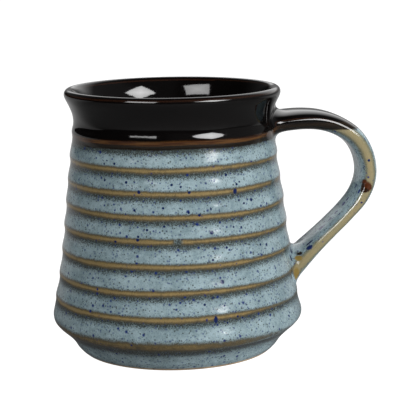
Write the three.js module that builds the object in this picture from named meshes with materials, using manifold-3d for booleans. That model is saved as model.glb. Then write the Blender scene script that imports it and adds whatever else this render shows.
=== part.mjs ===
// A stoneware mug with a dipped black rim, a wall of turned ridges under a blue glaze, and a strap handle.
//
// Units are millimetres and +Z is up. The handle points along +X and the mug stands on Z = 0, with the
// origin at the centre of the base of its bounding box. The shapes are worked out in the cup's own frame,
// with the cup's axis on Z, and the group at the end moves them over.
import * as THREE from "three";
import { mergeVertices } from "three/addons/utils/BufferGeometryUtils.js";
import Module from "manifold-3d";

// Coats and joints.
const GLAZE = 0.5; // thickness of a glaze coat
const GAP = 0.1; // clearance between a coat and the clay under it, and between touching pieces
const SLIP = 1.0; // thickness of the slip between a handle end and the wall
const COAT = GLAZE + GAP; // from the clay to the glazed surface

// The glazed outline of the cup, as [radius, height], in four stretches that run up the outside, over the
// lip and down the inside.
const LIP_HEIGHT = 106.4; // of the widest point of the rolled lip
const FOOT_OUTLINE = [
  [41.0, 1.1], // lower edge of the blue glaze
  [42.2, 2.6],
  [43.0, 4.4], // top of the foot
  [50.2, 12.1], // top of the chamfer under the belly
  [51.3, 13.6],
  [51.6, 15.6], // belly, the widest point
];
const RIDGE_CRESTS = [
  [50.3, 23.4],
  [48.5, 33.1],
  [47.0, 43.2],
  [45.8, 53.1],
  [44.7, 62.7],
  [43.6, 71.7],
  [42.6, 80.8],
];
const COLLAR_OUTLINE = [
  [41.5, 91.2], // bead under the neck
  [40.7, 95.3], // neck, the narrowest point
  [41.8, 100.3],
  [43.7, 104.6],
  [44.0, LIP_HEIGHT],
  [42.5, 108.4], // top of the lip
  [40.9, 107.3],
];
const INSIDE_OUTLINE = [
  [37.5, 100.3],
  [36.3, 95.3],
  [38.2, 80.8],
  [40.3, 62.7],
  [42.6, 43.2],
  [44.1, 33.1],
  [46.4, 13.0], // top of the curve between the wall and the floor
  [44.3, 8.1],
  [39.4, 6.2],
  [0, 6.0], // middle of the floor
];
const COLLAR_DIVISIONS = 15;

// Each ridge is a step in at its foot, a rounded crest and a shoulder.
const RIDGE = { undercut: 0.35, step: 1.8, rounding: 0.3, shoulder: { drop: 0.1, rise: 1.0 } };

// The black glaze ends at this height, on the cup and on the handle, and takes in the whole upper root.
const DIP_LINE = { height: 89.0, radius: 41.25 };
const ROOT = { reach: 52.7, height: 79.0 };

// The bare foot.
const FOOT_RING = { outer: 39.4, inner: 34.0 }; // what the mug stands on
const FOOT_RECESS = { radius: 32.5, height: 2.0 }; // the hollow inside the ring
const FOOT_BEVEL = { radius: 40.3, height: 0.7 }; // bare clay between the ring and the glaze

// The handle: a strap swept along a planar curve, given by points [distance from the axis, height].
const HANDLE_PATH = [
  [38.0, 92.0], // upper root
  [48.0, 93.4],
  [60.4, 93.2],
  [72.0, 89.0],
  [79.1, 79.2],
  [80.6, 67.4], // furthest point
  [76.8, 59.8],
  [70.0, 52.4],
  [57.7, 40.5],
  [47.0, 27.4],
  [43.0, 22.4], // lower root
];
const STRAP = { width: 21.0, thickness: 6.4 }; // over the glaze
const STRAP_SQUARENESS = 3.2; // exponent of the superellipse: 2 is an ellipse, and more is squarer
const MID_HEIGHT = 58.0; // between the two roots

// Fineness of the faceted surfaces.
const SEGMENTS = 36;
const STRAP_SIDES = 16;
const STRAP_STEPS = 26;

const MERGE_DISTANCE = 1e-4;
const FAR = 200; // beyond the whole mug

const wasm = await Module();
wasm.setup();

// Solids.

// The closed solid inside a geometry, without the triangles that have no area.
function solidOf(geometry) {
  const bare = geometry.index ? geometry.toNonIndexed() : geometry.clone();
  bare.deleteAttribute("normal");
  bare.deleteAttribute("uv");
  const merged = mergeVertices(bare, MERGE_DISTANCE);
  const corners = merged.index.array;
  const triVerts = [];
  for (let i = 0; i < corners.length; i += 3) {
    const [a, b, c] = corners.slice(i, i + 3);
    if (a !== b && b !== c && c !== a) triVerts.push(a, b, c);
  }
  const vertProperties = merged.attributes.position.array;
  return new wasm.Manifold(
    new wasm.Mesh({ numProp: 3, vertProperties, triVerts: new Uint32Array(triVerts) }),
  );
}

function geometryOf(solid) {
  const mesh = solid.getMesh();
  return new THREE.BufferGeometry()
    .setAttribute("position", new THREE.BufferAttribute(mesh.vertProperties, 3))
    .setIndex(new THREE.BufferAttribute(mesh.triVerts, 1));
}

// A box as wide as the mug along Y, between two corners [x, height].
function block([minX, minHeight], [maxX, maxHeight]) {
  const box = new THREE.BoxGeometry(maxX - minX, 2 * FAR, maxHeight - minHeight);
  return solidOf(box.translate((minX + maxX) / 2, 0, (minHeight + maxHeight) / 2));
}

// Revolves a profile of [radius, height] points about Z.
function turned(profile) {
  const points = profile.map(([radius, height]) => new THREE.Vector2(radius, height));
  return solidOf(new THREE.LatheGeometry(points, SEGMENTS).rotateX(Math.PI / 2));
}

// Moves a profile by a distance along its normals, with positive away from the clay. A point on the axis
// stays on it.
function offset(profile, distance) {
  const last = profile.length - 1;
  return profile.map(([radius, height], i) => {
    const before = profile[Math.max(i - 1, 0)];
    const after = profile[Math.min(i + 1, last)];
    const along = new THREE.Vector2(after[0] - before[0], after[1] - before[1]).normalize();
    return [radius === 0 ? 0 : radius + along.y * distance, height - along.x * distance];
  });
}

// Points on a smooth curve through the given ones.
function smooth(points, divisions) {
  const curve = new THREE.SplineCurve(points.map(([x, y]) => new THREE.Vector2(x, y)));
  return curve.getPoints(divisions).map((point) => [point.x, point.y]);
}

// The cup.

function ridge([radius, height]) {
  return [
    [radius - RIDGE.undercut, height - RIDGE.step],
    [radius, height - RIDGE.rounding],
    [radius - RIDGE.shoulder.drop, height + RIDGE.shoulder.rise],
  ];
}

const collarProfile = smooth(COLLAR_OUTLINE, COLLAR_DIVISIONS);
const blueProfile = [
  ...FOOT_OUTLINE,
  ...RIDGE_CRESTS.flatMap(ridge),
  [DIP_LINE.radius, DIP_LINE.height - GAP],
];
const blackProfile = [[DIP_LINE.radius, DIP_LINE.height], ...collarProfile, ...INSIDE_OUTLINE];

// The clay under both coats, closed by the bare foot.
const clayProfile = [
  [0, FOOT_RECESS.height],
  [FOOT_RECESS.radius, FOOT_RECESS.height],
  [FOOT_RING.inner, 0],
  [FOOT_RING.outer, 0],
  [FOOT_BEVEL.radius, FOOT_BEVEL.height],
  ...offset([...blueProfile, ...blackProfile.slice(1)], -COAT),
];

// The glazed surface from the foot to the widest point of the lip.
const outerWall = [...blueProfile, ...collarProfile].filter(([, height]) => height <= LIP_HEIGHT);

// Everything inside the clay's outer surface, grown by a distance.
function wallSolid(growth) {
  const grown = outerWall.map(([radius, height]) => [radius - COAT + growth, height]);
  return turned([[0, 0], [FOOT_RING.outer, 0], ...grown, [0, LIP_HEIGHT]]);
}

// The glaze coat under a profile of the glazed surface. A profile that ends on the axis closes there.
function coat(profile, endsOnAxis) {
  const under = offset(profile, -GLAZE).reverse();
  return turned(endsOnAxis ? [...under, ...profile] : [...profile, ...under, profile[0]]);
}

// The handle's strap.

const handleCurve = new THREE.CatmullRomCurve3(
  HANDLE_PATH.map(([distance, height]) => new THREE.Vector3(distance, 0, height)),
  false,
  "centripetal",
);

// The strap's section, grown or shrunk all round: a superellipse, as wide as the strap along X.
function strapOutline(growth) {
  const signedPower = (value) => Math.sign(value) * Math.abs(value) ** (2 / STRAP_SQUARENESS);
  return Array.from({ length: STRAP_SIDES }, (_, i) => {
    const angle = (i / STRAP_SIDES) * 2 * Math.PI;
    return new THREE.Vector2(
      (STRAP.width / 2 + growth) * signedPower(Math.cos(angle)),
      (STRAP.thickness / 2 + growth) * signedPower(Math.sin(angle)),
    );
  });
}

// The outline, with or without a hole through it, swept along the handle's curve.
function swept(outline, hole) {
  const shape = new THREE.Shape(outline);
  if (hole) shape.holes.push(new THREE.Path(hole));
  const options = { steps: STRAP_STEPS, extrudePath: handleCurve, bevelEnabled: false };
  return solidOf(new THREE.ExtrudeGeometry(shape, options));
}

const strapClay = swept(strapOutline(-COAT));
const strapCoat = swept(strapOutline(0), strapOutline(-GLAZE)).subtract(wallSolid(GAP));
const strapRoom = swept(strapOutline(GAP));

// Where the handle is black, and where it is blue.
const dipped = block([-FAR, DIP_LINE.height], [FAR, FAR]).add(block([0, ROOT.height], [ROOT.reach, FAR]));
const notDipped = block([-FAR, -FAR], [FAR, DIP_LINE.height - GAP]).subtract(dipped);

// Slip fills the space between the wall and a handle end, between two heights.
function slip(low, high) {
  const layer = wallSolid(GAP + SLIP).subtract(wallSolid(GAP));
  return strapClay.intersect(layer).intersect(block([0, low], [FAR, high]));
}

// Materials.

const clay = new THREE.MeshStandardMaterial({ color: 0xb59a74, roughness: 0.85, metalness: 0 });
const slipClay = new THREE.MeshStandardMaterial({ color: 0xa88f6c, roughness: 0.9, metalness: 0 });
const blackGlaze = new THREE.MeshStandardMaterial({ color: 0x0c0a09, roughness: 0.08, metalness: 0 });
const blueGlaze = new THREE.MeshStandardMaterial({ color: 0x7f939b, roughness: 0.18, metalness: 0 });
const handleGlaze = new THREE.MeshStandardMaterial({ color: 0x8a8468, roughness: 0.18, metalness: 0 });

// The mug.

const mug = new THREE.Group();

function addPiece(name, solid, material) {
  const piece = new THREE.Mesh(geometryOf(solid), material);
  piece.name = name;
  mug.add(piece);
}

addPiece("stoneware_body", turned(clayProfile), clay);
addPiece("stoneware_handle", strapClay.subtract(wallSolid(SLIP + 2 * GAP)), clay);
addPiece("upper_handle_slip", slip(MID_HEIGHT, FAR), slipClay);
addPiece("lower_handle_slip", slip(0, MID_HEIGHT), slipClay);
addPiece("black_liner_glaze", coat(blackProfile, true).subtract(strapRoom), blackGlaze);
addPiece("blue_wall_glaze", coat(blueProfile, false).subtract(strapRoom), blueGlaze);
addPiece("black_handle_glaze", strapCoat.intersect(dipped), blackGlaze);
addPiece("blue_handle_glaze", strapCoat.intersect(notDipped), handleGlaze);

// Brings the middle of the bounding box over the origin.
const bounds = new THREE.Box3().setFromObject(mug);
mug.position.x = -(bounds.min.x + bounds.max.x) / 2;

export default mug;
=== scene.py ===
"""A glazed stoneware mug on a pale studio floor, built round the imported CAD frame.

Shapes are worked out in millimetres in the cup's own frame, with the cup's axis on Z, the handle along +X
and the foot on Z = 0. Meshes and materials turn that into the row frame's metres.
"""

import math
from types import SimpleNamespace

import bpy
import numpy as np
from mathutils import Matrix, Vector


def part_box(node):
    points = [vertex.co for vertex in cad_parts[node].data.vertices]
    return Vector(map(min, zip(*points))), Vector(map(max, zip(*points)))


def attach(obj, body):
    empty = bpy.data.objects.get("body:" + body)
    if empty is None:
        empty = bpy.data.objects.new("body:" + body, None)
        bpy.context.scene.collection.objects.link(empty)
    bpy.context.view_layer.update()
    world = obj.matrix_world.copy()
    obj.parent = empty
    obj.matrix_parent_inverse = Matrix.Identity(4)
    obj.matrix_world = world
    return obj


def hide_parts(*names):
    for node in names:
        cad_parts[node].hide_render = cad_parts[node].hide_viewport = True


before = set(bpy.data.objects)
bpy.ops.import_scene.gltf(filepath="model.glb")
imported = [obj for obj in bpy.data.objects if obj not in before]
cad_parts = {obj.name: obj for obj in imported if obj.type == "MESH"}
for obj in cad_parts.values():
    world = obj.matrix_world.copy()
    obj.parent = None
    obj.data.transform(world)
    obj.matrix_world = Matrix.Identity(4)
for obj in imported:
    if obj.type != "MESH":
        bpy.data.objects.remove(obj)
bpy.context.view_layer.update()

MM = 0.001
body_low, body_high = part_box("stoneware_body")
AXIS = Vector(((body_low.x + body_high.x) / 2, (body_low.y + body_high.y) / 2, 0.0))

# The glazed outline of the cup, as (radius, height) points in millimetres.
FOOT_OUTLINE = [
    (40.5, 1.1),  # lower edge of the blue glaze
    (41.2, 1.8),
    (42.3, 3.1),
    (43.1, 4.5),  # top of the foot
    (44.9, 6.9),
    (47.4, 9.4),
    (49.9, 11.7),
    (51.2, 13.4),
    (51.6, 15.5),  # belly, the widest point
]
RIDGE_CRESTS = [  # (radius, height, depth of the valley under it), from the bead downward
    (41.5, 91.2, 0.525),
    (42.65, 81.4, 0.56),
    (43.7, 71.9, 0.33),
    (44.75, 62.9, 0.50),
    (45.85, 53.2, 0.56),
    (47.05, 43.2, 0.52),
    (48.5, 33.0, 0.54),
    (50.3, 23.3, 0.32),
]
COLLAR_OUTLINE = [
    (41.5, 91.2),  # bead
    (41.28, 92.4),
    (40.85, 93.9),
    (40.65, 95.3),  # neck
    (40.8, 97.2),
    (41.2, 98.8),
    (41.8, 100.4),
    (42.8, 102.6),
    (43.75, 104.5),
    (44.2, 106.1),  # widest point of the lip
    (43.7, 107.6),
    (42.5, 108.35),  # top of the lip
    (41.2, 108.0),
    (40.35, 106.8),
]
INSIDE_OUTLINE = [
    (40.35, 106.8),
    (39.75, 105.5),
    (39.2, 104.0),
    (38.62, 102.0),
    (38.2, 100.0),
    (37.85, 97.0),
    (37.8, 94.0),
    (38.3, 88.0),
    (39.9, 70.0),
    (42.0, 50.0),
    (44.8, 28.0),
    (46.6, 15.0),
    (45.6, 10.2),
    (42.2, 7.2),
    (36.0, 6.4),
    (18.0, 6.1),
    (0.0, 6.0),
]
GLAZE = 0.45  # thickness of a coat
GLAZE_ROUNDING = 0.45  # how far the glaze rounds off the ridges
DIP_LINE = 89.0  # lower edge of the black glaze
WIDEST_LIP = 106.1
INSIDE_DEPTH = 1.2  # how far in from the outer wall a point counts as inside the cup

# How the outline differs from one side of the cup to another.
LIP_LIFT = 0.4  # how much higher the lip is on the side away from the handle
LIP_LIFT_ANGLE = math.radians(150)
BELLY_LEAN = 0.5  # how much further the belly comes out under the handle
ROOT_SWELL = 0.5  # how much further the wall comes out between the handle's roots
GROOVE_FILL = 0.10  # how much shallower the groove over the bead is on its left
GROOVE_FILL_ANGLE = math.radians(-116)
GROOVE = (94.0, 1.6)  # height of that groove, and its reach above and below

# The bare clay foot, as (radius, height): the hollow under the floor, the ring that the mug stands on, and
# the bevel up to the glaze.
FOOT_CLAY = [
    (0.0, 2.0),
    (31.8, 2.0),
    (33.1, 1.5),
    (33.9, 0.25),
    (34.4, 0.0),
    (38.9, 0.0),
    (39.5, 0.15),
    (39.85, 0.55),
]
FOOT_ROUNDING = 0.25
CLAY_GAP = 0.1  # between a coat and the clay under it

# The handle: a strap swept along a planar curve of (distance from the axis, height) points.
HANDLE_PATH = [
    (37.0, 92.2),
    (46.0, 93.2),
    (53.5, 93.6),
    (61.0, 92.9),
    (68.5, 90.3),
    (75.3, 85.5),
    (79.65, 77.8),
    (80.6, 68.6),
    (77.6, 60.6),
    (72.0, 54.0),
    (64.7, 47.0),
    (57.3, 40.2),
    (50.5, 33.7),
    (44.9, 27.7),
    (40.2, 22.4),
]
STRAP_WIDTH = 21.4
STRAP_WIDENING = 3.6  # how much wider the strap is where it meets the cup
STRAP_SIDE = 3.8  # height of the sides of the section, before its corners are rounded
STRAP_THICKNESS = [  # (share of the path, thickness)
    (0.0, 8.2),
    (0.2, 8.0),
    (0.34, 7.8),
    (0.42, 7.4),
    (0.50, 6.8),
    (0.56, 6.1),
    (0.63, 5.1),
    (0.71, 5.2),
    (0.79, 6.4),
    (0.87, 8.0),
    (1.0, 9.0),
]
CROWN_POWER = 4.0  # 2 crowns the faces evenly, and more keeps them flat in the middle
CORNER_ROUNDING = 1.75
PATH_ROUNDING = 1.5
UPPER_WIDENING = (0.04, 0.30)  # shares of the path between which the strap narrows from the upper root
LOWER_WIDENING = (0.74, 0.94)  # and between which it widens to the lower one
ROOT_REACH = 7.2  # length of strap that flares out at a root
ROOT_SPREAD = 6.0  # how far the flare runs out over the wall
ROOT_LEAN = 0.75  # how much larger a flare is on the side where the strap leans over the wall
ROOT_SINK = 0.04  # how far under the wall's surface a flare ends

# Lines where the glaze breaks to tan, as heights on the wall.
TAN_LINES = [80.45, 71.4, 62.3, 53.0, 43.2, 33.2, 23.4]
BELLY_BAND = 12.3  # middle of the wide band over the foot
BELLY_BAND_FLAT = 0.7  # half the height over which the band stays even
BELLY_BAND_REACH = 8.0  # height over which it then dies away
BELLY_BAND_SHARE = 0.9  # how thin the glaze gets on it, against 1 on a line
DARK_GLAZE_AND_SHADE_LINES = [DIP_LINE + 0.2, *TAN_LINES, BELLY_BAND - 1.6]  # what the blue is darker under: partly darker glaze, partly painted shade under each ridge, the bead and the belly
BREAK_REACH = 5.0  # distance over which the "thin" attribute falls from 1 to 0
SIDE_BREAK = 1.0  # how far from the middle of the strap's side it starts to fall
INNER_DUSK = 0.5  # how dark the strap's inner face gets along its edges
DIP_UNIT = 10.0  # height that is 1 in the "dip" attribute
WIPED_ANGLE = -0.4  # in radians: where the clay is wiped smooth by the handle, and the lines are weaker
TAN_GAPS = [(-95.4, 52.8), (-31.0, 71.4), (40.0, 33.2), (152.0, 62.3)]  # (angle in degrees, height)
TAN_GAP_SIZE = (1.8, 3.0, 1.6)
LIP_BREAK = 107.3  # height on the lip where the black glaze is thinnest
LIP_BREAK_SHARE = 0.86  # and how thin it is there
LIP_EDGE = (40.3, 100.0)  # radius and height beyond which the surface is lip
ROOT_MARKS = (0.35, 1.0)  # shares of a root's flare between which the strap's lines become the wall's
ROOT_COLOURS = (0.2, 0.9)  # and the strap's khaki becomes the wall's tan

# Patterns in the glaze and the clay: (waves per millimetre, detail).
CLOUDS = (0.11, 3.0)
MOTTLE = (0.55, 2.0)
RAGGED = (1.5, 2.0)
GRAIN = (2.5, 2.0)
STREAKS = (1.6, 2.0)
FLECKS = (2.9, 1.0)
CLAY_CLOUDS = (0.12, 3.0)
CLAY_GRIT = (2.2, 3.0)
STREAK_SCALE = (0.05, 0.05, 1.0)  # streaks run round the wall
RING_FINENESS = 3.2  # of the rings that turning leaves, in radians per millimetre

# Specks: (sites per millimetre, usual radius in millimetres, softness of the edge).
PEPPER_SPECKS = (1.3, 0.30, 0.5)
LARGE_SPOTS = (0.34, 0.52, 0.45)
SMALL_SPOTS = (0.75, 0.34, 0.5)
IRON_SPECKS = (0.7, 0.3, 0.35)
SMALLEST_SPECK = 0.6  # of the usual radius. The largest is twice as wide as the smallest
MARK_SOFTNESS = 0.25
TAN_GAP_SOFTNESS = 0.5
GLAZE_IOR = 1.4
GLAZE_RELIEF = 0.05
CLAY_RELIEF = 0.12

# Fired colours, linear.
BLUE_PALE = (0.262, 0.345, 0.370)
BLUE_DEEP = (0.125, 0.178, 0.197)
# Blue under each ridge: partly darker glaze, partly painted shade.
BLUE_DARK_AND_SHADED = (0.028, 0.035, 0.031)
PEPPER = (0.020, 0.022, 0.020)
TAN_PALE = (0.245, 0.185, 0.088)
TAN = (0.168, 0.121, 0.049)
TAN_EDGE = (0.080, 0.062, 0.032)
KHAKI = (0.158, 0.150, 0.094)
KHAKI_EDGE = (0.090, 0.084, 0.050)
COBALT = (0.008, 0.017, 0.10)
INK = (0.005, 0.011, 0.055)
RUST = (0.048, 0.014, 0.005)
RUST_DARK = (0.014, 0.006, 0.003)
OCHRE = (0.165, 0.115, 0.032)
BLACK = (0.0022, 0.0018, 0.0018)
BLACK_BREAK = (0.030, 0.011, 0.005)
AMBER = (0.075, 0.033, 0.009)
AMBER_DARK = (0.030, 0.010, 0.003)
SMOKE = (0.012, 0.008, 0.005)
DIP_EDGE = (0.005, 0.0045, 0.0035)
CLAY_PALE = (0.42, 0.31, 0.19)
CLAY_DARK = (0.26, 0.175, 0.10)
IRON = (0.05, 0.025, 0.012)

# Marks that can be told apart on the wall, as (angle in degrees, height, half width, height over width).
UNEVEN_MARKS = [
    (-79.3, 22.6, 0.75, 2.0),
    (-63.9, 71.0, 0.9, 1.2),
    (-84.4, 63.1, 0.6, 0.9),
    (-115.2, 53.8, 0.7, 0.8),
    (-127.3, 52.6, 0.6, 0.8),
    (-45.0, 47.8, 0.55, 1.3),
]
# And round ones, as (angle in degrees, height, half width).
ROUND_MARKS = [
    (-89.1, 72.0, 0.6), (-114.9, 72.2, 0.7), (-135.7, 75.9, 0.5), (-122.2, 75.7, 0.55),
    (-97.9, 75.0, 0.5), (-93.3, 74.2, 0.45), (-117.1, 65.2, 0.5), (-102.4, 66.2, 0.5),
    (-89.7, 64.3, 0.5), (-102.0, 59.1, 0.45), (-110.6, 57.7, 0.5), (-115.0, 55.1, 0.5),
    (-78.5, 56.1, 0.8), (-74.7, 36.7, 0.85), (-78.7, 45.5, 0.5), (-83.9, 28.6, 0.5),
    (-79.8, 30.9, 0.45), (-68.6, 22.8, 0.45), (-66.3, 22.1, 0.4), (-73.8, 20.9, 0.4),
    (-74.5, 27.5, 0.45), (-49.8, 48.5, 0.5), (-68.5, 77.6, 0.55), (-62.7, 73.6, 0.5),
    (-60.8, 74.4, 0.4), (-53.7, 66.7, 0.65), (-58.9, 65.9, 0.45), (-61.9, 67.3, 0.45),
    (-78.3, 65.2, 0.4), (-66.3, 57.3, 0.4), (-61.8, 56.8, 0.45), (-70.9, 49.6, 0.5),
    (-134.5, 83.6, 0.35), (-136.2, 82.3, 0.4), (-129.4, 82.6, 0.5),
]
# Marks on the strap, as (centre, half size, colour).
STRAP_MARKS = [
    ((79.1, -10.4, 65.4), (2.1, 3.0, 1.9), RUST),
    ((78.0, -10.4, 67.0), (1.2, 3.0, 1.7), RUST),
    ((77.9, -10.3, 63.9), (1.7, 3.0, 1.0), RUST_DARK),
    ((77.2, -9.8, 65.6), (0.8, 1.6, 2.2), RUST_DARK),
    ((79.7, -10.5, 76.4), (0.55, 1.0, 0.55), INK),
    ((76.6, -10.5, 58.9), (0.5, 1.0, 0.4), INK),
    ((75.9, -2.7, 64.8), (0.8, 0.7, 1.2), COBALT),
    ((75.9, -8.3, 63.4), (0.8, 0.6, 1.0), COBALT),
    ((72.6, -1.1, 59.1), (1.0, 0.8, 1.0), COBALT),
    ((71.0, -0.9, 57.1), (1.1, 1.2, 1.1), COBALT),
    ((67.8, -1.0, 53.7), (1.0, 0.8, 1.0), COBALT),
    ((65.1, -1.9, 51.1), (1.0, 0.8, 1.0), COBALT),
    ((61.0, -2.8, 47.3), (1.3, 1.3, 1.3), COBALT),
    ((55.2, -7.3, 42.3), (2.2, 0.7, 1.6), INK),
    ((54.6, -9.6, 40.8), (1.7, 1.1, 1.2), INK),
    ((50.7, -9.0, 38.2), (1.6, 0.9, 0.9), SMOKE),
    ((49.8, -10.7, 36.8), (1.6, 1.3, 1.2), OCHRE),
    ((48.5, -12.5, 30.6), (1.4, 2.4, 2.6), OCHRE),
    ((46.7, -8.6, 39.2), (1.0, 1.2, 1.8), INK),
    ((46.1, -12.2, 37.0), (0.8, 0.9, 1.8), INK),
]

# The studio. Azimuths are measured from -Y, toward the handle.
CAMERA_AZIMUTH = -6.5
CAMERA_DISTANCE = 604.8  # in millimetres, from the cup's axis
CAMERA_HEIGHT = 169.6
CAMERA_AIM = (1.299, 10.472, -1.090)  # yaw toward the handle, pitch down and roll, in degrees
CAMERA_LENS = 128.5
SOFTBOXES = [  # name, outline, azimuth and elevation in degrees, distance and size in metres, radiance
    ("key_softbox", "rhombus", 36.5, 24.5, 0.9, (0.68, 0.42), 20.0),
    ("fill_softbox", "rectangle", -40.5, 29.2, 0.9, (0.50, 0.33), 11.3),
]
# Two more that light only the handle: one is seen as a line along its near edge, and one is soft light on
# its inner face.
STRIP_LIGHT = ("strip_softbox", "rectangle", -52.0, 31.0, 0.9, (0.26, 0.56), 30.0)
STRAP_LIGHT = ("strap_softbox", "rectangle", -40.0, 60.0, 0.9, (0.40, 0.40), 10.5)
LIGHT_AIM = 60.0  # height on the cup's axis that every softbox faces, in millimetres
SOFTBOX_MIDDLE = 1.15  # brightness of a softbox in its middle
SOFTBOX_FALL = 0.4  # and how much it falls by toward the edge
SOFTBOX_RIM = 0.90  # share of the way out at which its soft edge starts

# The floor, in metres. Steps along X and Y run between two places.
FLOOR_REACH = 6.0
FLOOR_LEVEL = -0.05 * MM  # just clear of the foot ring
FLOOR_COLOUR = (0.20, 0.20, 0.20)
FLOOR_WHITE = 1.0  # what the floor adds where the camera sees it
FLOOR_BEHIND = 0.35  # and what it adds behind the mug, mostly for reflections
FLOOR_BEHIND_STEP = (0.05, 0.3)
FLOOR_BOUNCE = (0.14, 1.05)  # and what it adds to soft light on the mug, on the left and on the right
FLOOR_BOUNCE_STEP = (-0.05, 0.04)

# The room, by direction: steps run between two values of a direction's X, Y or Z.
ROOM_GLOW = 0.008  # in front
BACKDROP_GLOW = 0.24  # behind the mug
BACKDROP_STEP = (0.2, 0.75)  # from the front to the back, along Y
BACKDROP_TOP = 6.5  # how many times brighter the backdrop is higher up
BACKDROP_TOP_STEP = (0.12, 0.26)
OVERHEAD_SHARE = 0.1  # share of that brightness that it has overhead
OVERHEAD_STEP = (0.78, 0.97)
LEFT_SHARE = 0.05  # share of its brightness that it has on the left
LEFT_STEP = (-0.3, -0.05)
RIGHT_GLOW = 0.6  # on the handle side of the room
RIGHT_STEP = (0.45, 0.80)
RIGHT_MIRRORED = 0.3  # share of that glow that shows in reflections

# Fineness of the curves and meshes.
OUTLINE_STEP = 0.1  # between the points that the cup's outline and the handle's path are worked out at
SECTION_STEP = 0.05  # and between those of the strap's section
CROWN_POINTS = 211
VALLEY_POINTS = 60
TURNS = 240
WALL_STEP = 0.4
INSIDE_STEP = 1.1
FOOT_STEP = 0.5
STRAP_SIDES = 120
UPPER_ROWS = 60  # of the strap, down to the dip line
LOWER_ROWS = 130  # of the strap, below it
ROOT_ROWS = 14  # of a root's flare
NEAREST_AXIS = 0.5  # a turned line stops this far from the axis, and closes in a pole


# Curves.


def smooth_curve(points, step):
    """Points every step along a cubic curve through the given ones."""
    points = np.array(points, float)
    knots = np.concatenate([[0], np.cumsum(np.linalg.norm(np.diff(points, axis=0), axis=1))])
    slopes = np.gradient(points, knots, axis=0)
    at = np.linspace(0, knots[-1], max(2, int(round(knots[-1] / step)) + 1))
    span = np.clip(np.searchsorted(knots, at, side="right") - 1, 0, len(knots) - 2)
    width = (knots[span + 1] - knots[span])[:, None]
    t = (at - knots[span])[:, None] / width
    return (
        (2 * t**3 - 3 * t**2 + 1) * points[span]
        + (t**3 - 2 * t**2 + t) * width * slopes[span]
        + (3 * t**2 - 2 * t**3) * points[span + 1]
        + (t**3 - t**2) * width * slopes[span + 1]
    )


def resampled(line, step):
    """The same line with points at even steps of about the given length."""
    along = np.concatenate([[0], np.cumsum(np.linalg.norm(np.diff(line, axis=0), axis=1))])
    at = np.linspace(0, along[-1], max(2, int(round(along[-1] / step)) + 1))
    return np.stack([np.interp(at, along, line[:, k]) for k in range(line.shape[1])], axis=1)


def blurred(line, width, step, closed=False):
    """A line of evenly spaced points, rounded off over the given width."""
    reach = int(math.ceil(3 * width / step))
    weights = np.exp(-0.5 * (np.arange(-reach, reach + 1) * step / width) ** 2)
    weights /= weights.sum()
    if closed:
        padded = np.concatenate([line[-reach:], line, line[:reach]])
    else:
        before = 2 * line[0] - line[reach:0:-1]
        after = 2 * line[-1] - line[-2 : -reach - 2 : -1]
        padded = np.concatenate([before, line, after])
    return np.stack([np.convolve(padded[:, k], weights, "valid") for k in range(line.shape[1])], axis=1)


def offset(line, distance):
    """A (radius, height) line moved along its normals, with positive to the left of its direction."""
    along = np.gradient(line, axis=0)
    along /= np.linalg.norm(along, axis=1)[:, None]
    moved = line + distance * np.stack([-along[:, 1], along[:, 0]], axis=1)
    moved[:, 0] = np.maximum(moved[:, 0], 0)
    return moved


def smoothstep(low, high, value):
    t = np.clip((value - low) / (high - low), 0, 1)
    return t * t * (3 - 2 * t)


def rise_and_fall(value, rise, fall):
    """0 before the rise, 1 between the rise and the fall, and 0 after the fall."""
    return smoothstep(*rise, value) * (1 - smoothstep(*fall, value))


def on_side(angle, toward, spread):
    """1 on the side of the cup at the angle toward, and near 0 away from it."""
    return np.exp((np.cos(angle - toward) - 1) / spread)


# The cup's outline.


def valley(crest, below, depth):
    """From one ridge crest down to the next: a quick step in, then a long flare out."""
    t = np.linspace(0, 1, VALLEY_POINTS)
    dip = depth * 6.75 * t * (1 - t) ** 2  # 1 deep at a third of the way down
    radius = crest[0] + (below[0] - crest[0]) * t - dip
    height = crest[1] + (below[1] - crest[1]) * t
    return np.stack([radius, height], axis=1)


def outer_outline():
    """The whole outside, from the foot's glaze edge up over the lip."""
    stops = [*RIDGE_CRESTS, (*FOOT_OUTLINE[-1], 0)]
    ridged = np.concatenate([valley(a, b, a[2]) for a, b in zip(stops, stops[1:])])
    foot = smooth_curve(FOOT_OUTLINE, OUTLINE_STEP)
    collar = smooth_curve(COLLAR_OUTLINE, OUTLINE_STEP)
    whole = resampled(np.concatenate([foot[:-1], ridged[::-1], collar[1:]]), OUTLINE_STEP)
    return blurred(whole, GLAZE_ROUNDING, OUTLINE_STEP)


OUTER = outer_outline()
INSIDE = smooth_curve(INSIDE_OUTLINE, OUTLINE_STEP)
climbing = OUTER[: int(np.argmax(OUTER[:, 1] >= WIDEST_LIP))]  # the part whose height only rises


def wobble(height, angle):
    """What the unevenness of a turned wall adds to its radius."""
    slow = 0.05 * np.sin(2 * angle + 0.6 + height * 0.03) + 0.03 * np.sin(3 * angle + 2.2 - height * 0.05)
    throwing = 0.025 * np.sin(7 * angle + height * 0.31) * np.sin(height * 0.9 + 3 * angle)
    lean = BELLY_LEAN / 2 * (1 + np.cos(angle)) * rise_and_fall(height, (3, 9), (13, 20))
    swell = ROOT_SWELL * on_side(angle, 0, 0.05) * rise_and_fall(height, (32, 44), (62, 74))
    groove = np.exp(-(((height - GROOVE[0]) / GROOVE[1]) ** 2))
    fill = GROOVE_FILL * on_side(angle, GROOVE_FILL_ANGLE, 0.06) * groove
    return slow + throwing + lean + swell + fill


def wander(height, angle):
    """How far a ridge wanders up and down round the wall."""
    return 0.16 * np.sin(2 * angle + height * 0.11) + 0.09 * np.sin(5 * angle + 1.3 + height * 0.23)


def wall_radius(height, angle):
    """Radius of the glazed wall at a height and angle, up to the widest point of the lip."""
    ridged = rise_and_fall(height, (14, 22), (84, 90))
    even = np.interp(height - ridged * wander(height, angle), climbing[:, 1], climbing[:, 0])
    return even + wobble(height, angle)


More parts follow.
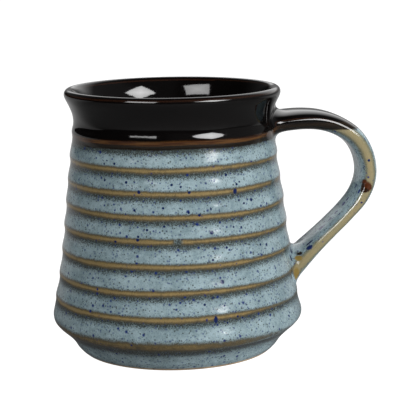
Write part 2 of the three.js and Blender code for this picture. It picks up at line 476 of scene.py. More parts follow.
def on_axis(radius, height, angle):
    """Points round the axis. The lip is a little higher on the side away from the handle."""
    lift = LIP_LIFT / 2 * (1 + np.cos(angle - LIP_LIFT_ANGLE)) * smoothstep(94, 102, height)
    return np.stack([radius * np.cos(angle), radius * np.sin(angle), height + lift], axis=-1)


# Where the glaze runs thin, and where it is dipped.


def wall_marks(height, angle):
    """thin: 1 on a tan line, 0 far from one. under: 1 just below a line, fading downward; the blue is
    darker there, partly as darker glaze and partly as painted shade.
    """
    level = height - wander(height, angle) * smoothstep(14, 22, height)
    thin = np.zeros_like(level)
    under = np.zeros_like(level)
    for line in DARK_GLAZE_AND_SHADE_LINES:
        below = 1 - (line - level) / BREAK_REACH
        under = np.maximum(under, np.where((level <= line) & (below > 0), below, 0))
    for line in TAN_LINES:
        thin = np.maximum(thin, 1 - np.abs(level - line) / BREAK_REACH)
    band = 1 - np.maximum(np.abs(level - BELLY_BAND) - BELLY_BAND_FLAT, 0) / BELLY_BAND_REACH
    thin = np.maximum(thin, BELLY_BAND_SHARE * np.clip(band, 0, 1))
    wiped = on_side(angle, WIPED_ANGLE, 0.2)
    fading = 0.10 + 0.12 * (1 - smoothstep(20, 50, height))
    return np.clip(thin - fading * wiped, 0, 1), under * (1 - 0.3 * wiped)


def dip_level(height, angle):
    """Height above the edge of the black glaze, in units of DIP_UNIT."""
    edge = DIP_LINE + 0.2 * np.sin(3 * angle + 0.4) + 0.12 * np.sin(8 * angle + 1.0)
    return np.clip((height - edge) / DIP_UNIT, -1, 1)


# Meshes.


def mesh_piece(name, rows, material, marks=None, poles=False, sharp=50):
    """A closed mesh from a grid of points in millimetres, wrapped round its columns. Its rows wrap too,
    unless the first and last close in a pole each."""
    count, sides = rows.shape[:2]
    points = rows.reshape(-1, 3)
    column = np.arange(sides)
    following = (column + 1) % sides
    faces = []
    for i in range(count - 1 if poles else count):
        a = i * sides
        b = ((i + 1) % count) * sides
        quads = np.stack([a + column, a + following, b + following, b + column], axis=1)
        faces.extend(quads.tolist())
    if poles:
        pole = len(points)
        last = pole - sides
        for a, b in zip(column.tolist(), following.tolist()):
            faces.append([pole, b, a])
            faces.append([pole + 1, last + a, last + b])
        points = np.concatenate([points, [rows[0].mean(axis=0), rows[-1].mean(axis=0)]])
    mesh = bpy.data.meshes.new(name)
    mesh.from_pydata((points * MM + np.array(AXIS)).tolist(), [], faces)
    mesh.shade_smooth()
    mesh.set_sharp_from_angle(angle=math.radians(sharp))
    for label, values in (marks or {}).items():
        ends = [values[0].mean(), values[-1].mean()] if poles else []
        flat = np.concatenate([values.reshape(-1), ends]).astype(np.float32)
        mesh.attributes.new(label, "FLOAT", "POINT").data.foreach_set("value", flat)
    mesh.validate()
    piece = bpy.data.objects.new(name, mesh)
    bpy.context.scene.collection.objects.link(piece)
    mesh.materials.append(material)
    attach(piece, "root")
    return piece


angles = np.linspace(0, 2 * math.pi, TURNS, endpoint=False)


def turned(line):
    """Rows of points from a (radius, height) line, turned round the axis."""
    radius = line[:, :1]
    height = line[:, 1:]
    return on_axis(radius + 0 * angles, height, angles[None, :] + 0 * height)


def outside_rows(line):
    """Rows on the outer wall, with its unevenness."""
    height = line[:, 1:] + 0 * angles
    around = angles[None, :] + 0 * height
    climbs = line[:, 1:] < WIDEST_LIP
    radius = np.where(climbs, wall_radius(height, around), line[:, :1] + wobble(height, around))
    return on_axis(radius, height, around)


def wall_attributes(rows, shown):
    """The glaze's marks on rows of the wall. shown is how many of the first rows are its outside."""
    angle = np.arctan2(rows[..., 1], rows[..., 0])
    height = rows[..., 2]
    thin, under = wall_marks(height, angle)
    dip = dip_level(height, angle)
    radius = np.hypot(rows[..., 0], rows[..., 1])
    inside = radius < np.interp(height, climbing[:, 1], climbing[:, 0]) - INSIDE_DEPTH
    dip = np.where(inside, 1.0, dip)
    hidden = np.arange(len(rows))[:, None] >= shown
    return {
        "thin": np.where(hidden, 0, thin),
        "under": np.where(hidden, 0, under),
        "dip": dip,
        "strap": np.zeros_like(dip),
    }


def part_of(line, low, high):
    """The stretch of a climbing line between two heights, ends included."""
    apart = 0.02  # leaves out points that nearly fall on an end
    inside = line[(line[:, 1] > low + apart) & (line[:, 1] < high - apart)]
    first, last = np.interp([low, high], line[:, 1], line[:, 0])
    return np.concatenate([[[first, low]], inside, [[last, high]]])


def wall_glaze(material):
    """The blue coat on the outer wall, from the foot up to the dip line."""
    outside = resampled(part_of(climbing, FOOT_OUTLINE[0][1], DIP_LINE), WALL_STEP)
    outer = outside_rows(outside)
    under = resampled(offset(outside, GLAZE), INSIDE_STEP)[::-1]
    rows = np.concatenate([outer, turned(under)])
    marks = wall_attributes(rows, len(outer))
    piece = mesh_piece("blue_wall_coat", rows, material, marks)
    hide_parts("blue_wall_glaze")


def liner_glaze(material):
    """The black coat from the dip line up over the lip and down the inside to the middle of the floor."""
    start = int(np.argmax(OUTER[:, 1] > DIP_LINE + OUTLINE_STEP / 2))
    edge = [[np.interp(DIP_LINE, climbing[:, 1], climbing[:, 0]), DIP_LINE]]
    outside = resampled(np.concatenate([edge, OUTER[start:]]), WALL_STEP)
    inside = resampled(INSIDE, INSIDE_STEP)[1:-1]
    outer = outside_rows(outside)
    under = offset(np.concatenate([outside, inside]), GLAZE)[::-2]
    under = turned(under[under[:, 0] > NEAREST_AXIS])
    rows = np.concatenate([under, outer, turned(inside)])
    marks = wall_attributes(rows, len(rows))
    radius = np.hypot(rows[..., 0], rows[..., 1])
    lip = (radius > LIP_EDGE[0]) & (rows[..., 2] > LIP_EDGE[1])
    lip_thin = LIP_BREAK_SHARE - np.abs(rows[..., 2] - LIP_BREAK) / BREAK_REACH
    marks["thin"] = np.where(lip, np.clip(lip_thin, 0, 1), 0)
    marks["dip"][: len(under)] = 1.0
    piece = mesh_piece("black_liner_coat", rows, material, marks, poles=True)
    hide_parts("black_liner_glaze")


def clay_body(material):
    """The thrown clay between the coats, with its bare foot."""
    foot = blurred(resampled(np.array(FOOT_CLAY), OUTLINE_STEP), FOOT_ROUNDING, OUTLINE_STEP)
    foot = resampled(np.maximum(foot, 0), FOOT_STEP)[1:]
    line = offset(np.concatenate([OUTER, INSIDE[1:]]), GLAZE + CLAY_GAP)
    line = resampled(line, INSIDE_STEP)
    line = line[line[:, 0] > NEAREST_AXIS]
    rows = turned(np.concatenate([foot, line]))
    piece = mesh_piece("clay_cup", rows, material, poles=True, sharp=60)
    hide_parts("stoneware_body")


# The handle.


def strap_section(thickness):
    """The closed section of the strap as (across, out) points, with crowned faces and rounded edges."""
    half = STRAP_WIDTH / 2
    across = np.linspace(-half, half, CROWN_POINTS)
    crown = STRAP_SIDE / 2 + (thickness - STRAP_SIDE) / 2 * (1 - np.abs(across / half) ** CROWN_POWER)
    top = np.stack([across, crown], axis=1)
    bottom = np.stack([across[::-1], -crown], axis=1)
    dense = resampled(np.concatenate([top, bottom, top[:1]]), SECTION_STEP)[:-1]
    dense = blurred(dense, CORNER_ROUNDING, SECTION_STEP, closed=True)[::-1]

    # Points lie closer together where the section turns more sharply.
    turn = np.linalg.norm(np.roll(dense, -1, 0) - 2 * dense + np.roll(dense, 1, 0), axis=1)
    along = np.concatenate([[0], np.cumsum(1 + 3 * turn / turn.max())])
    at = np.linspace(0, along[-1], STRAP_SIDES, endpoint=False)
    wrapped = np.concatenate([dense, dense[:1]])
    return np.stack([np.interp(at, along, wrapped[:, k]) for k in (0, 1)], axis=1)


def strap_lines():
    """The strap's surface as (steps, sides, 3) points along the whole path, and its thinnest section."""
    path = blurred(smooth_curve(HANDLE_PATH, OUTLINE_STEP), PATH_ROUNDING, OUTLINE_STEP)
    tangent = np.gradient(path, axis=0)
    tangent /= np.linalg.norm(tangent, axis=1)[:, None]
    normal = np.stack([-tangent[:, 1], tangent[:, 0]], axis=1)
    shares, values = np.array(STRAP_THICKNESS).T
    share = np.linspace(0, 1, len(path))
    thickness = np.interp(share, shares, values)
    thinnest, thickest = strap_section(values.min()), strap_section(values.max())
    blend = (thickness - values.min()) / (values.max() - values.min())
    section = thinnest + blend[:, None, None] * (thickest - thinnest)
    out = section[..., 1]
    wider = 1 - smoothstep(*UPPER_WIDENING, share) + smoothstep(*LOWER_WIDENING, share)
    across = section[..., 0] * (1 + wider[:, None] * STRAP_WIDENING / STRAP_WIDTH)
    outward, upward = (path[:, k, None] + normal[:, k, None] * out for k in (0, 1))
    return np.stack([outward, across, upward], axis=-1), thinnest


def outside_wall(points):
    """How far points are outside the glazed wall."""
    angle = np.arctan2(points[..., 1], points[..., 0])
    return np.hypot(points[..., 0], points[..., 1]) - wall_radius(points[..., 2], angle)


def at_steps(lines, steps):
    """Points on each of the strap's lines at fractional steps, one row of steps at a time."""
    low = np.clip(np.floor(steps).astype(int), 0, len(lines) - 2)
    part = (steps - low)[..., None]
    column = np.arange(lines.shape[1])
    return lines[low, column] * (1 - part) + lines[low + 1, column] * part


def crossing(values, first):
    """The fractional step at which each column of values first passes zero, from one end."""
    ordered = values if first else values[::-1]
    i = np.argmax(ordered > 0, axis=0)
    column = np.arange(values.shape[1])
    before, after = ordered[i - 1, column], ordered[i, column]
    step = i - 1 + before / (before - after)
    return step if first else len(values) - 1 - step


def root_size(lines, step, onward):
    """How much larger or smaller the flare is on each of the strap's lines, and the direction that it runs
    over the wall in, as (round, up)."""
    meeting = at_steps(lines, step)
    strap = at_steps(lines, step + onward * ROOT_REACH / OUTLINE_STEP) - meeting
    strap /= np.linalg.norm(strap, axis=1)[:, None]
    angle = np.arctan2(meeting[:, 1], meeting[:, 0])
    radius = np.hypot(meeting[:, 0], meeting[:, 1])
    away = np.stack([angle * radius, meeting[:, 2] - meeting[:, 2].mean()], axis=1)
    away /= np.linalg.norm(away, axis=1)[:, None]
    over_wall = np.stack([-np.sin(angle) * away[:, 0], np.cos(angle) * away[:, 0], away[:, 1]], axis=1)
    return 1 + ROOT_LEAN * np.sum(strap * over_wall, axis=1), away


def root_flare(start, meeting, size, away):
    """Rows that carry each of the strap's lines from its point start onto the wall, round the point where
    it would meet the wall."""
    angle = np.arctan2(meeting[:, 1], meeting[:, 0])
    radius = np.hypot(meeting[:, 0], meeting[:, 1])
    run = (ROOT_SPREAD * size)[:, None] * away
    end_angle = angle + run[:, 0] / radius
    end_height = meeting[:, 2] + run[:, 1]
    end = on_axis(wall_radius(end_height, end_angle) - ROOT_SINK, end_height, end_angle)
    t = np.linspace(0, 1, ROOT_ROWS)[:, None, None]
    return (1 - t) ** 2 * start + 2 * t * (1 - t) * meeting + t**2 * end


def handle_rows():
    """The strap's glazed surface from one root's edge to the other's, the number of the row that lies on
    the dip line, each row's share of the way from the strap (0) to the wall (1), and the section."""
    lines, section = strap_lines()
    clear = outside_wall(lines)
    upper, lower = crossing(clear, True), crossing(clear, False)
    upper_size, upper_away = root_size(lines, upper, 1)
    lower_size, lower_away = root_size(lines, lower, -1)
    start = upper + ROOT_REACH * upper_size / OUTLINE_STEP
    end = lower - ROOT_REACH * lower_size / OUTLINE_STEP
    highest = int(np.argmax(lines[:, 0, 2]))
    dip = highest + crossing(DIP_LINE - lines[highest:, :, 2], True)
    before = np.linspace(0, 1, UPPER_ROWS)[:, None]
    after = np.linspace(0, 1, LOWER_ROWS)[1:, None]
    tube = at_steps(lines, np.concatenate([start + (dip - start) * before, dip + (end - dip) * after]))
    first = root_flare(tube[0], at_steps(lines, upper), upper_size, upper_away)
    last = root_flare(tube[-1], at_steps(lines, lower), lower_size, lower_away)
    rows = np.concatenate([first[:0:-1], tube, last[1:]])
    fade = np.linspace(0, 1, ROOT_ROWS)[1:]
    onto_wall = np.concatenate([fade[::-1], np.zeros(len(tube)), fade])
    dip_row = len(first) - 1 + UPPER_ROWS - 1
    return rows, dip_row, onto_wall, section


def sunk(rows, depth):
    """A grid of points moved inward along its own normals."""
    around = np.roll(rows, -1, axis=1) - np.roll(rows, 1, axis=1)
    along = np.gradient(rows, axis=0)
    normal = np.cross(around, along)
    normal /= np.linalg.norm(normal, axis=-1)[..., None]
    return rows - depth * normal


def handle_attributes(rows, onto_wall, section):
    """The glaze's marks on the handle: thin on the sides and edges of the strap, and the wall's own marks
    where the roots run onto it."""
    across, out = np.abs(section[:, 0]), np.abs(section[:, 1])
    from_side = np.minimum(out, STRAP_SIDE / 2) + (STRAP_WIDTH / 2 - across)
    strap_thin = np.clip(1 - np.maximum(from_side - SIDE_BREAK, 0) / BREAK_REACH, 0, 1)
    angle = np.arctan2(rows[..., 1], rows[..., 0])
    height = rows[..., 2]
    wall_thin, wall_under = wall_marks(height, angle)
    share = smoothstep(*ROOT_MARKS, onto_wall)[:, None]
    strap_under = np.where(section[:, 1] < 0, INNER_DUSK * strap_thin, 0)
    return {
        "thin": strap_thin * (1 - share) + wall_thin * share,
        "under": strap_under * (1 - share) + wall_under * share,
        "dip": dip_level(height, angle),
        "strap": 1 - smoothstep(*ROOT_COLOURS, onto_wall)[:, None] + 0 * height,
    }


def handle_pieces(glaze, clay):
    """The strap's black and blue coats, which meet at the dip line, and the clay inside them."""
    rows, dip_row, onto_wall, section = handle_rows()
    marks = handle_attributes(rows, onto_wall, section)
    under = sunk(rows, GLAZE)
    core = sunk(rows, GLAZE + CLAY_GAP)
    spans = {
        "black_handle_coat": (0, dip_row + 1, "black_glaze", "black_handle_glaze"),
        "blue_handle_coat": (dip_row, len(rows), "handle_glaze", "blue_handle_glaze"),
    }
    coats = []
    for name, (first, last, slot, node) in spans.items():
        shell = np.concatenate([rows[first:last], under[first:last][::-1]])
        shell_marks = {k: np.concatenate([v[first:last], v[first:last][::-1]]) for k, v in marks.items()}
        piece = mesh_piece(name, shell, glaze, shell_marks)
        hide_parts(node)
        coats.append(piece)
    strap = core[ROOT_ROWS - 1 : 1 - ROOT_ROWS : 3]  # every third row will do, as the coats hide it
    piece = mesh_piece("clay_strap", strap, clay, poles=True)
    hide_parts("stoneware_handle")
    ends = {
        "upper_slip_fillet": (core[:ROOT_ROWS], "upper_handle_slip"),
        "lower_slip_fillet": (core[-ROOT_ROWS:], "lower_handle_slip"),
    }
    for name, (root, node) in ends.items():
        piece = mesh_piece(name, root, clay, poles=True)
        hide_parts(node)
    return coats


# Materials.


def new_material(name):
    material = bpy.data.materials.new(name)
    material.use_nodes = True
    tree = material.node_tree
    return material, tree, tree.nodes["Principled BSDF"]


def feed(socket, value):
    """Links a socket to another one, or sets it to a value."""
    if isinstance(value, bpy.types.NodeSocket):
        socket.id_data.links.new(value, socket)
    else:
        socket.default_value = value


def new_node(kind, *values, **settings):
    """A node with its first sockets fed with the values, in the same tree as the sockets among them."""
    tree = next(value.id_data for value in values if isinstance(value, bpy.types.NodeSocket))
    node = tree.nodes.new(kind)
    for name, setting in settings.items():
        setattr(node, name, setting)
    for socket, value in zip(node.inputs, values):
        feed(socket, value)
    return node


def calculated(operation, *values):
    return new_node("ShaderNodeMath", *values, operation=operation).outputs[0]


def plus(first, second):
    return calculated("ADD", first, second)


def minus(first, second):
    return calculated("SUBTRACT", first, second)


def times(first, second):
    return calculated("MULTIPLY", first, second)


def scaled(value, factor, added):
    return calculated("MULTIPLY_ADD", value, factor, added)


def larger(first, second):
    return calculated("MAXIMUM", first, second)


def stepped(value, low, high, to_low=0.0, to_high=1.0):
    """A smooth step: to_low where value is at low, to_high where it is at high."""
    ends = (low, high, to_low, to_high)
    return new_node("ShaderNodeMapRange", value, *ends, interpolation_type="SMOOTHSTEP").outputs[0]


def mixed(share, first, second):
    """The first colour, or the second one where share is 1."""
    node = new_node("ShaderNodeMix", share, data_type="RGBA")
    for socket, value in ((node.inputs[6], first), (node.inputs[7], second)):
        feed(socket, value if isinstance(value, bpy.types.NodeSocket) else (*value, 1.0))
    return node.outputs[2]


def vector_math(operation, *values):
    node = new_node("ShaderNodeVectorMath", *values, operation=operation)
    return node.outputs["Value" if operation == "LENGTH" else "Vector"]


def attribute(tree, name):
    node = tree.nodes.new("ShaderNodeAttribute")
    node.attribute_name = name
    return node.outputs["Fac"]


def millimetres(tree):
    """Position on the object in millimetres, measured from the cup's axis."""
    place = tree.nodes.new("ShaderNodeTexCoord").outputs["Object"]
    return vector_math("MULTIPLY_ADD", place, (1 / MM, 1 / MM, 1 / MM), tuple(-AXIS / MM))


def noise(place, scale, detail, roughness=0.5):
    node = new_node("ShaderNodeTexNoise", place)
    node.inputs["Scale"].default_value = scale
    node.inputs["Detail"].default_value = detail
    node.inputs["Roughness"].default_value = roughness
    return node.outputs["Fac"]


def speckled(place, share, scale, size, softness):
    """1 inside dots scattered at about scale per millimetre, on a share of the sites, 0 between them."""
    node = new_node("ShaderNodeTexVoronoi", place)
    node.inputs["Scale"].default_value = scale
    chance = new_node("ShaderNodeSeparateColor", node.outputs["Color"]).outputs
    least = SMALLEST_SPECK * size * scale
    near = calculated("DIVIDE", node.outputs["Distance"], scaled(chance["Green"], least, least))
    dot = stepped(near, 1.0 - softness, 1.0 + softness, 1.0, 0.0)
    return times(dot, calculated("LESS_THAN", chance["Red"], share))


def patch(fields, centre, size, softness):
    """1 inside a given ellipsoid, with a ragged edge."""
    shifted = vector_math("SUBTRACT", fields.place, centre)
    from_centre = vector_math("LENGTH", vector_math("DIVIDE", shifted, size))
    wavy = plus(from_centre, scaled(fields.ragged, 0.7, -0.35))
    return stepped(wavy, 1 - softness, 1 + softness, 1.0, 0.0)


def relief(shader, height, strength, distance):
    """Bumps from a height, whose unit is a distance in millimetres."""
    bumps = height.id_data.nodes.new("ShaderNodeBump")
    bumps.inputs["Strength"].default_value = strength
    bumps.inputs["Distance"].default_value = distance * MM
    feed(bumps.inputs["Height"], height)
    feed(shader.inputs["Normal"], bumps.outputs["Normal"])


def on_wall(angle_deg, height):
    """A point on the outer wall, in millimetres from the cup's axis."""
    angle = math.radians(angle_deg)
    return tuple(float(x) for x in on_axis(wall_radius(height, angle), height, np.array(angle)))


def hand_marks():
    """The marks that can be told apart: (centre, half size, colour), in millimetres."""
    for angle_deg, height, size, tall in UNEVEN_MARKS + [(*mark, 1.0) for mark in ROUND_MARKS]:
        yield on_wall(angle_deg, height), (size, size, size * tall), INK
    yield from STRAP_MARKS


def glaze_fields(tree):
    """What the glaze's layers are made from: its marks on the meshes, and patterns of several sizes."""
    place = millimetres(tree)
    return SimpleNamespace(
        place=place,
        thin=attribute(tree, "thin"),
        under=attribute(tree, "under"),
        dip=times(attribute(tree, "dip"), DIP_UNIT),
        strap=attribute(tree, "strap"),
        clouds=noise(place, *CLOUDS),
        mottle=noise(place, *MOTTLE),
        ragged=noise(place, *RAGGED),
        grain=noise(place, *GRAIN),
        streaks=noise(vector_math("MULTIPLY", place, STREAK_SCALE), *STREAKS),
    )


def blue_layer(fields):
    """The blue-grey, dark under each ridge and light at the foot of each valley, and how dark it is. The
    dark under each ridge is partly darker glaze and partly painted shade.
    """
    fine = scaled(fields.grain, 0.5, times(fields.mottle, 0.35))
    shade = scaled(fields.clouds, 0.45, fine)
    colour = mixed(stepped(shade, 0.44, 0.86), BLUE_DEEP, BLUE_PALE)
    wavy = scaled(fields.ragged, 0.16, -0.08)
    # Darker below each line: partly darker glaze, partly painted shade under the overhang.
    beneath = stepped(plus(fields.under, wavy), 0.0, 0.72, 0.0, 0.93)
    above = stepped(plus(fields.thin, wavy), 0.52, 0.88, 0.0, 0.75)
    dark_glaze_and_shade = larger(beneath, above)
    grainy_dark_glaze_and_shade = plus(dark_glaze_and_shade, scaled(fields.grain, 2.2, -1.1))
    return mixed(stepped(grainy_dark_glaze_and_shade, 0.08, 1.08), colour, BLUE_DARK_AND_SHADED), dark_glaze_and_shade


def pepper_layer(fields, colour, dark_glaze_and_shade):
    """Fine dark specks, thick where the blue is dark from darker glaze and painted shade. Returns the
    colour and where the specks are.
    """
    share = scaled(dark_glaze_and_shade, 0.5, 0.17)
    specks = speckled(fields.place, share, *PEPPER_SPECKS)
    flecks = scaled(dark_glaze_and_shade, 0.14, noise(fields.place, *FLECKS))
    pepper = larger(specks, stepped(flecks, 0.66, 0.73))
    return mixed(times(pepper, 0.85), colour, PEPPER), pepper


def tan_layer(fields, colour):
    """Tan where the glaze is thin, or khaki on the strap, broken by a few gaps."""
    distance = scaled(fields.thin, -BREAK_REACH, BREAK_REACH)
    uneven = scaled(fields.mottle, 0.7, times(fields.grain, 0.6))
    uneven = scaled(fields.clouds, 0.9, uneven)
    distance = plus(distance, minus(uneven, 1.1))
    middle = mixed(fields.strap, TAN, KHAKI)
    edge = mixed(fields.strap, TAN_EDGE, KHAKI_EDGE)
    edge_end = scaled(fields.strap, 1.3, 0.9)
    tan = mixed(stepped(distance, 0.25, edge_end), middle, edge)
    tan = mixed(stepped(fields.grain, 0.40, 0.72, 0.0, 0.55), tan, edge)
    core = stepped(distance, 0.1, 0.6, 0.8, 0.0)
    tan = mixed(times(core, fields.clouds), tan, TAN_PALE)
    soft_end = scaled(fields.strap, 1.1, 1.75)
    broken = stepped(distance, 0.55, soft_end, 1.0, 0.0)
    for angle_deg, height in TAN_GAPS:
        gap = patch(fields, on_wall(angle_deg, height), TAN_GAP_SIZE, TAN_GAP_SOFTNESS)
        broken = times(broken, minus(1.0, gap))
    return mixed(broken, colour, tan)


def spot_layer(fields, colour):
    """Cobalt spots, mostly in the valleys, and the listed marks."""
    share = stepped(fields.thin, 0.6, 0.85, 0.7, 0.08)
    for specks, strength in ((LARGE_SPOTS, 0.95), (SMALL_SPOTS, 0.65)):
        spots = speckled(fields.place, share, *specks)
        colour = mixed(times(spots, strength), colour, COBALT)
    for centre, size, mark_colour in hand_marks():
        colour = mixed(patch(fields, centre, size, MARK_SOFTNESS), colour, mark_colour)
    return colour


def dip_layer(fields, colour):
    """The black dip. Its lower edge breaks to amber on the wall, and is a smoky brown on the strap."""
    level = plus(fields.dip, scaled(fields.ragged, 0.5, -0.25))
    level = plus(level, scaled(fields.clouds, 0.5, -0.25))
    level = scaled(fields.strap, -1.5, level)
    shadow = mixed(stepped(fields.grain, 0.4, 0.6), SMOKE, DIP_EDGE)
    colour = mixed(stepped(level, -1.4, -0.6), colour, shadow)
    glow = mixed(stepped(fields.streaks, 0.38, 0.64), AMBER_DARK, AMBER)
    glow = mixed(fields.strap, glow, SMOKE)
    colour = mixed(stepped(level, 0.3, 1.3), colour, glow)
    lip = stepped(fields.thin, 0.76, 0.84)
    lip = times(lip, stepped(fields.thin, 0.88, 0.96, 1.0, 0.0))
    black = mixed(times(lip, fields.streaks), BLACK, BLACK_BREAK)
    return mixed(stepped(level, 1.8, 2.9), colour, black)


def glaze_roughness(fields):
    """Glossy, and a little softer below the dip on the wall."""
    softer = stepped(fields.dip, 0.0, 2.5, 0.06, 0.0)
    softer = times(softer, stepped(fields.strap, 0.0, 0.6, 1.0, 0.1))
    return plus(stepped(fields.ragged, 0.3, 0.8, 0.03, 0.09), softer)


def glaze_height(fields, pepper):
    """Orange peel, with pits at the specks and faint streaks. The black glaze is smoother."""
    peel = scaled(fields.mottle, 1.2, times(fields.ragged, 0.12))
    pitted = minus(peel, times(pepper, 0.12))
    calmed = times(pitted, stepped(fields.dip, 0.0, 3.0, 1.0, 0.15))
    return plus(calmed, times(fields.streaks, 0.12))


def glaze_material():
    """Both glazes: blue-grey that breaks to tan where it is thin, under a black dip."""
    material, tree, shader = new_material("fired_glaze")
    fields = glaze_fields(tree)
    colour, dark_glaze_and_shade = blue_layer(fields)
    colour, pepper = pepper_layer(fields, colour, dark_glaze_and_shade)
    for layer in (tan_layer, spot_layer, dip_layer):
        colour = layer(fields, colour)
    feed(shader.inputs["Base Color"], colour)
    feed(shader.inputs["Roughness"], glaze_roughness(fields))
    shader.inputs["IOR"].default_value = GLAZE_IOR
    relief(shader, glaze_height(fields, pepper), 1.0, GLAZE_RELIEF)
    return material


def clay_material():
    """Bare fired clay: buff, gritty and matt, with iron specks and the rings left by turning."""
    material, tree, shader = new_material("buff_stoneware")
    place = millimetres(tree)
    clouds = noise(place, *CLAY_CLOUDS)
    grit = noise(place, *CLAY_GRIT, roughness=0.6)
    colour = mixed(stepped(clouds, 0.3, 0.7), CLAY_DARK, CLAY_PALE)
    colour = mixed(stepped(grit, 0.35, 0.7, 0.0, 0.45), colour, CLAY_DARK)
    iron = speckled(place, 0.4, *IRON_SPECKS)
    colour = mixed(times(iron, 0.7), colour, IRON)
    feed(shader.inputs["Base Color"], colour)
    feed(shader.inputs["Roughness"], stepped(grit, 0.2, 0.8, 0.7, 0.95))
    radius = vector_math("LENGTH", vector_math("MULTIPLY", place, (1, 1, 0)))
    rings = calculated("SINE", times(radius, RING_FINENESS))
    relief(shader, scaled(rings, 0.3, grit), 0.5, CLAY_RELIEF)
    return material


# The studio.


def direction_to(azimuth_deg, elevation_deg):
    """Unit vector from the cup toward an azimuth and an elevation."""
    azimuth, elevation = math.radians(azimuth_deg), math.radians(elevation_deg)
    level = math.cos(elevation)
    return Vector((math.sin(azimuth) * level, -math.cos(azimuth) * level, math.sin(elevation)))


def add_camera():
    camera = bpy.data.objects.new("camera", bpy.data.cameras.new("camera"))
    bpy.context.scene.collection.objects.link(camera)
    camera.data.sensor_width = 36.0
    camera.data.lens = CAMERA_LENS
    turn = Matrix.Rotation(math.radians(CAMERA_AZIMUTH), 3, "Z")
    yaw, pitch, roll = (math.radians(x) for x in CAMERA_AIM)
    forward = Vector((math.sin(yaw) * math.cos(pitch), math.cos(yaw) * math.cos(pitch), -math.sin(pitch)))
    level = Vector((math.cos(yaw), -math.sin(yaw), 0))
    upward = level.cross(forward)
    right = math.cos(roll) * level + math.sin(roll) * upward
    up = math.cos(roll) * upward - math.sin(roll) * level
    facing = Matrix((right, up, -forward)).transposed()
    place = turn @ Vector((0, -CAMERA_DISTANCE, CAMERA_HEIGHT)) * MM + AXIS
    camera.matrix_world = Matrix.Translation(place) @ (turn @ facing).to_4x4()
    camera.data.clip_start = 0.01
    bpy.context.scene.camera = camera


def add_softbox(name, outline, azimuth_deg, elevation_deg, distance, size, radiance):
    """An area light that faces the cup, with soft edges and a brighter middle."""
    light = bpy.data.lights.new(name, "AREA")
    light.shape = "RECTANGLE"
    light.size, light.size_y = size
    light.energy = radiance * math.pi * size[0] * size[1]
    light.use_nodes = True
    tree = light.node_tree
    place = tree.nodes.new("ShaderNodeNewGeometry").outputs["Parametric"]
    parts = new_node("ShaderNodeSeparateXYZ", place).outputs
    across, up = (calculated("ABSOLUTE", scaled(parts[k], 2.0, -1.0)) for k in ("X", "Y"))
    out = plus(across, up) if outline == "rhombus" else larger(across, up)
    lit = stepped(out, SOFTBOX_RIM, 1.0, 1.0, 0.0)
    falling = scaled(out, -SOFTBOX_FALL, SOFTBOX_MIDDLE)
    feed(tree.nodes["Emission"].inputs["Strength"], times(lit, falling))
    lamp = bpy.data.objects.new(name, light)
    bpy.context.scene.collection.objects.link(lamp)
    direction = direction_to(azimuth_deg, elevation_deg)
    target = AXIS + Vector((0, 0, LIGHT_AIM * MM))
    lamp.location = target + direction * distance
    lamp.rotation_mode = "QUATERNION"
    lamp.rotation_quaternion = direction.to_track_quat("Z", "Y")
    return lamp


def shine_only_on(lamp, pieces, as_reflection):
    """Keeps a lamp's light to the given pieces, either as a reflection or as soft light."""
    lit = bpy.data.collections.new("lit_by_" + lamp.name)
    for piece in pieces:
        lit.objects.link(piece)
    lamp.light_linking.receiver_collection = lit
    lamp.visible_diffuse = not as_reflection
    lamp.visible_glossy = as_reflection


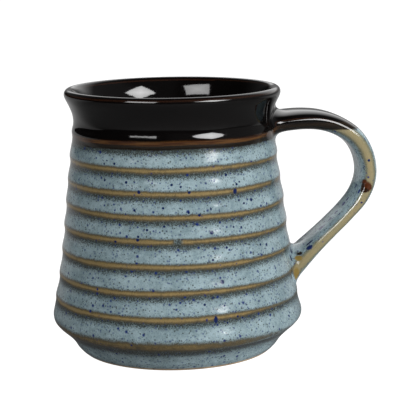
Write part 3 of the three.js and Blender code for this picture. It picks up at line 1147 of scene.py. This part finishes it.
def add_floor():
    """A wide floor that is white to the camera, and lights the mug from below and behind."""
    mesh = bpy.data.meshes.new("floor")
    sides = ((-1, -1), (1, -1), (1, 1), (-1, 1))
    corners = [(x * FLOOR_REACH, y * FLOOR_REACH, FLOOR_LEVEL) for x, y in sides]
    mesh.from_pydata(corners, [], [(0, 1, 2, 3)])
    floor = bpy.data.objects.new("floor", mesh)
    bpy.context.scene.collection.objects.link(floor)
    material, tree, shader = new_material("pale_floor")
    shader.inputs["Base Color"].default_value = (*FLOOR_COLOUR, 1)
    shader.inputs["Roughness"].default_value = 0.9
    shader.inputs["Specular IOR Level"].default_value = 0.1
    shader.inputs["Emission Color"].default_value = (1, 1, 1, 1)
    ray = tree.nodes.new("ShaderNodeLightPath").outputs
    seen = times(ray["Is Camera Ray"], FLOOR_WHITE)
    place = tree.nodes.new("ShaderNodeTexCoord").outputs["Object"]
    x, y, _ = new_node("ShaderNodeSeparateXYZ", place).outputs
    behind = stepped(y, *FLOOR_BEHIND_STEP, 0.0, FLOOR_BEHIND)
    bounce = stepped(x, *FLOOR_BOUNCE_STEP, *FLOOR_BOUNCE)
    bounce = times(ray["Is Diffuse Ray"], bounce)
    bright = larger(larger(seen, behind), bounce)
    feed(shader.inputs["Emission Strength"], bright)
    mesh.materials.append(material)


def light_world():
    """White to the camera. To the mug, a backdrop behind, a glow on the right and a dark room in front."""
    world = bpy.data.worlds.new("studio")
    bpy.context.scene.world = world
    world.use_nodes = True
    tree = world.node_tree
    direction = tree.nodes.new("ShaderNodeTexCoord").outputs["Generated"]
    x, y, z = new_node("ShaderNodeSeparateXYZ", direction).outputs
    behind = stepped(y, *BACKDROP_STEP, ROOM_GLOW, BACKDROP_GLOW)
    raised = stepped(z, *BACKDROP_TOP_STEP, 1.0, BACKDROP_TOP)
    raised = times(raised, stepped(z, *OVERHEAD_STEP, 1.0, OVERHEAD_SHARE))
    raised = times(raised, stepped(x, *LEFT_STEP, LEFT_SHARE, 1.0))
    ray = tree.nodes.new("ShaderNodeLightPath").outputs
    right = stepped(x, *RIGHT_STEP, 0.0, RIGHT_GLOW)
    right = times(right, stepped(ray["Is Diffuse Ray"], 0.0, 1.0, RIGHT_MIRRORED, 1.0))
    glow = larger(times(behind, raised), right)
    background = tree.nodes["Background"]
    background.inputs["Color"].default_value = (1, 1, 1, 1)
    feed(background.inputs["Strength"], larger(glow, ray["Is Camera Ray"]))


clay = clay_material()
glaze = glaze_material()
wall_glaze(glaze)
liner_glaze(glaze)
clay_body(clay)
strap_coats = handle_pieces(glaze, clay)
add_floor()
light_world()
for softbox in SOFTBOXES:
    add_softbox(*softbox)
shine_only_on(add_softbox(*STRIP_LIGHT), strap_coats, True)
shine_only_on(add_softbox(*STRAP_LIGHT), strap_coats, False)
add_camera()
bpy.context.scene.view_settings.view_transform = "Standard"
